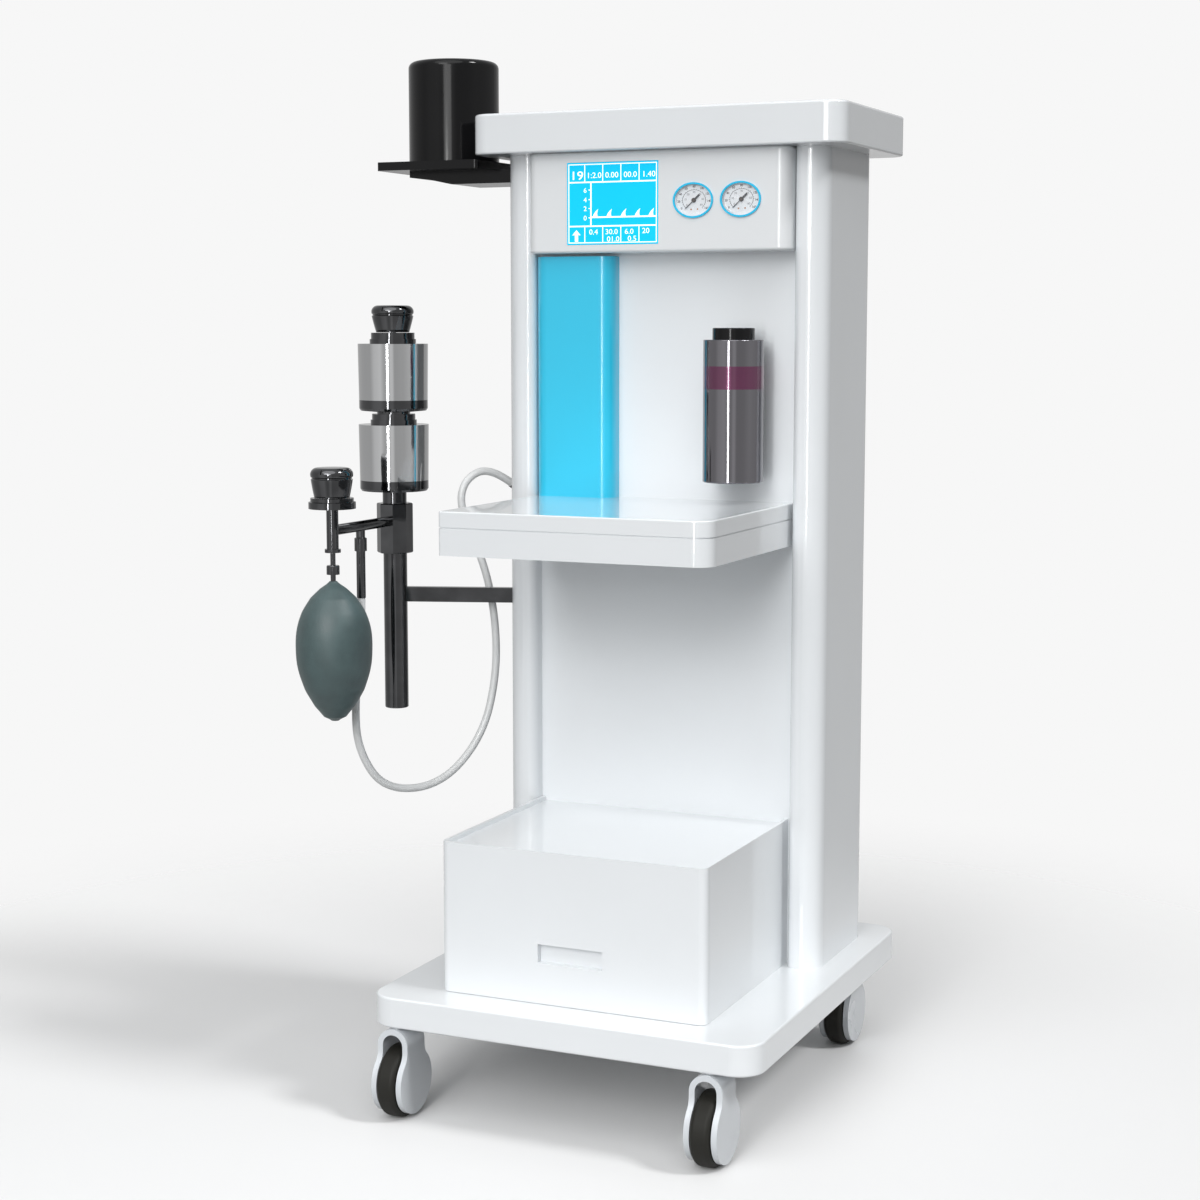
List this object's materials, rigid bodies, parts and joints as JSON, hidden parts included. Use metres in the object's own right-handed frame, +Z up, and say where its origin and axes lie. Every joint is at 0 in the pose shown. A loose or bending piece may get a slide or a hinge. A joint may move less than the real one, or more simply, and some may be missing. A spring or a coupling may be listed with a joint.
{
  "type": "ventilator trolley",
  "caption": "Anaesthesia ventilator trolley on casters, with a control head, worktop, drawer cabinet, vaporizer, side bellows and absorber arm with breathing bag.",
  "frame": {"origin": "centre of the overall footprint, on the floor", "axes": "+Z up, the user stands at -Y facing the control head, +X to the user's right"},
  "size_m": [0.7682, 0.673, 1.5],
  "materials": {
    "white_enamel": "glossy white powder coat",
    "white_shelf": "glossy white laminate",
    "head_white": "glossy white moulded plastic",
    "back_white": "satin white powder coat",
    "galvanised": "plain zinc plated steel",
    "board": "circuit board behind the display",
    "screen": "bright cyan display",
    "gauge_ring": "cyan bezel",
    "gauge_face": "silvery dial",
    "gauge_glass": "clear lens",
    "needle": "black",
    "blue_paint": "satin sky blue cover",
    "polished_steel": "polished dark steel",
    "band_plum": "plum agent colour band",
    "black_gloss": "glossy black",
    "black_chrome": "dark polished metal",
    "canister_steel": "polished steel",
    "tray_black": "glossy black laminate",
    "bellows_rubber": "black bellows rubber",
    "bag_rubber": "dark teal grained rubber",
    "hose_silicone": "milky silicone",
    "caster_grey": "light grey nylon",
    "wheel_hub": "grey hub",
    "tyre": "dark brown black"
  },
  "bodies": {
    "frame": {"base_tray": "white_enamel", "base_cover": "white_enamel", "left_column": "white_enamel", "right_column": "white_enamel", "front_panel": "back_white", "rear_cover": "back_white", "top_underplate": "white_enamel", "top_shell": "white_shelf", "head_bezel": "head_white", "head_chassis": "galvanised", "display_glass": "screen", "display_panel": "board", "gauge_bezels": "gauge_ring", "gauge_dials": "gauge_face", "gauge_lenses": "gauge_glass", "blue_cover": "blue_paint", "vaporizer_body": "polished_steel", "vaporizer_band": "band_plum", "vaporizer_mount": "black_gloss", "worktop_plate": "white_shelf", "worktop_tray": "white_shelf", "cabinet_shell": "white_enamel", "drawer_rails": "galvanised", "side_tray": "tray_black", "side_bracket": "tray_black", "bellows_dome": "black_gloss", "bellows": "bellows_rubber", "absorber_arm": "black_chrome", "collar_block": "black_chrome", "canister_shells": "canister_steel", "canister_fittings": "black_chrome", "side_arm": "black_chrome", "apl_body": "black_chrome", "bag_connector": "black_chrome", "breathing_bag": "bag_rubber", "hose": "hose_silicone", "hose_port": "black_chrome", "caster_mounts": "galvanised"},
    "drawer": {"drawer_box": "back_white", "drawer_front": "white_enamel"},
    "needle_left": {"gauge_needle_left": "needle"},
    "needle_right": {"gauge_needle_right": "needle"},
    "dial": {"vaporizer_dial": "black_gloss"},
    "bellows_disc": {"bellows_plate": "black_gloss"},
    "canister_tap": {"canister_knob": "black_chrome"},
    "pressure_valve": {"apl_knob": "black_chrome"},
    "caster_front_left": {"fork_front_left": "caster_grey"},
    "roller_front_left": {"wheel_front_left": "wheel_hub", "tyre_front_left": "tyre"},
    "caster_front_right": {"fork_front_right": "caster_grey"},
    "roller_front_right": {"wheel_front_right": "wheel_hub", "tyre_front_right": "tyre"},
    "caster_rear_left": {"fork_rear_left": "caster_grey"},
    "roller_rear_left": {"wheel_rear_left": "wheel_hub", "tyre_rear_left": "tyre"},
    "caster_rear_right": {"fork_rear_right": "caster_grey"},
    "roller_rear_right": {"wheel_rear_right": "wheel_hub", "tyre_rear_right": "tyre"}
  },
  "joints": [
    {"name": "drawer_slide", "type": "slide", "parent": "frame", "child": "drawer", "axis": [0, -1, 0], "range_m": [0, 0.25]},
    {"name": "vaporizer_dial_turn", "type": "hinge", "parent": "frame", "child": "dial", "pos_m": [0.2196, 0.0275, 1.09], "axis": [0, 0, 1], "range_deg": [0, 280]},
    {"name": "gauge_needle_left_turn", "type": "hinge", "parent": "frame", "child": "needle_left", "pos_m": [0.1548, 0.0355, 1.2797], "axis": [0, 1, 0], "range_deg": [0, 270]},
    {"name": "gauge_needle_right_turn", "type": "hinge", "parent": "frame", "child": "needle_right", "pos_m": [0.2264, 0.0355, 1.2797], "axis": [0, 1, 0], "range_deg": [0, 270]},
    {"name": "bellows_stroke", "type": "slide", "parent": "frame", "child": "bellows_disc", "axis": [0, 0, -1], "range_m": [0, 0.06], "deforming": ["bellows"]},
    {"name": "canister_knob_turn", "type": "hinge", "parent": "frame", "child": "canister_tap", "pos_m": [-0.3279, 0.0245, 1.11], "axis": [0, 0, 1], "range_deg": [0, 270]},
    {"name": "pressure_valve_turn", "type": "hinge", "parent": "frame", "child": "pressure_valve", "pos_m": [-0.3279, -0.1595, 0.88], "axis": [0, 0, 1], "range_deg": [0, 300]},
    {"name": "caster_swivel_front_left", "type": "hinge", "parent": "frame", "child": "caster_front_left", "pos_m": [-0.1529, -0.2855, 0.115], "axis": [0, 0, 1], "continuous": true},
    {"name": "wheel_roll_front_left", "type": "hinge", "parent": "caster_front_left", "child": "roller_front_left", "pos_m": [-0.1529, -0.2855, 0.051], "axis": [1, 0, 0], "continuous": true},
    {"name": "caster_swivel_front_right", "type": "hinge", "parent": "frame", "child": "caster_front_right", "pos_m": [0.3151, -0.2855, 0.115], "axis": [0, 0, 1], "continuous": true},
    {"name": "wheel_roll_front_right", "type": "hinge", "parent": "caster_front_right", "child": "roller_front_right", "pos_m": [0.3151, -0.2855, 0.051], "axis": [1, 0, 0], "continuous": true},
    {"name": "caster_swivel_rear_left", "type": "hinge", "parent": "frame", "child": "caster_rear_left", "pos_m": [-0.1529, 0.2725, 0.115], "axis": [0, 0, 1], "continuous": true},
    {"name": "wheel_roll_rear_left", "type": "hinge", "parent": "caster_rear_left", "child": "roller_rear_left", "pos_m": [-0.1529, 0.2725, 0.051], "axis": [1, 0, 0], "continuous": true},
    {"name": "caster_swivel_rear_right", "type": "hinge", "parent": "frame", "child": "caster_rear_right", "pos_m": [0.3151, 0.2725, 0.115], "axis": [0, 0, 1], "continuous": true},
    {"name": "wheel_roll_rear_right", "type": "hinge", "parent": "caster_rear_right", "child": "roller_rear_right", "pos_m": [0.3151, 0.2725, 0.051], "axis": [1, 0, 0], "continuous": true}
  ]
}
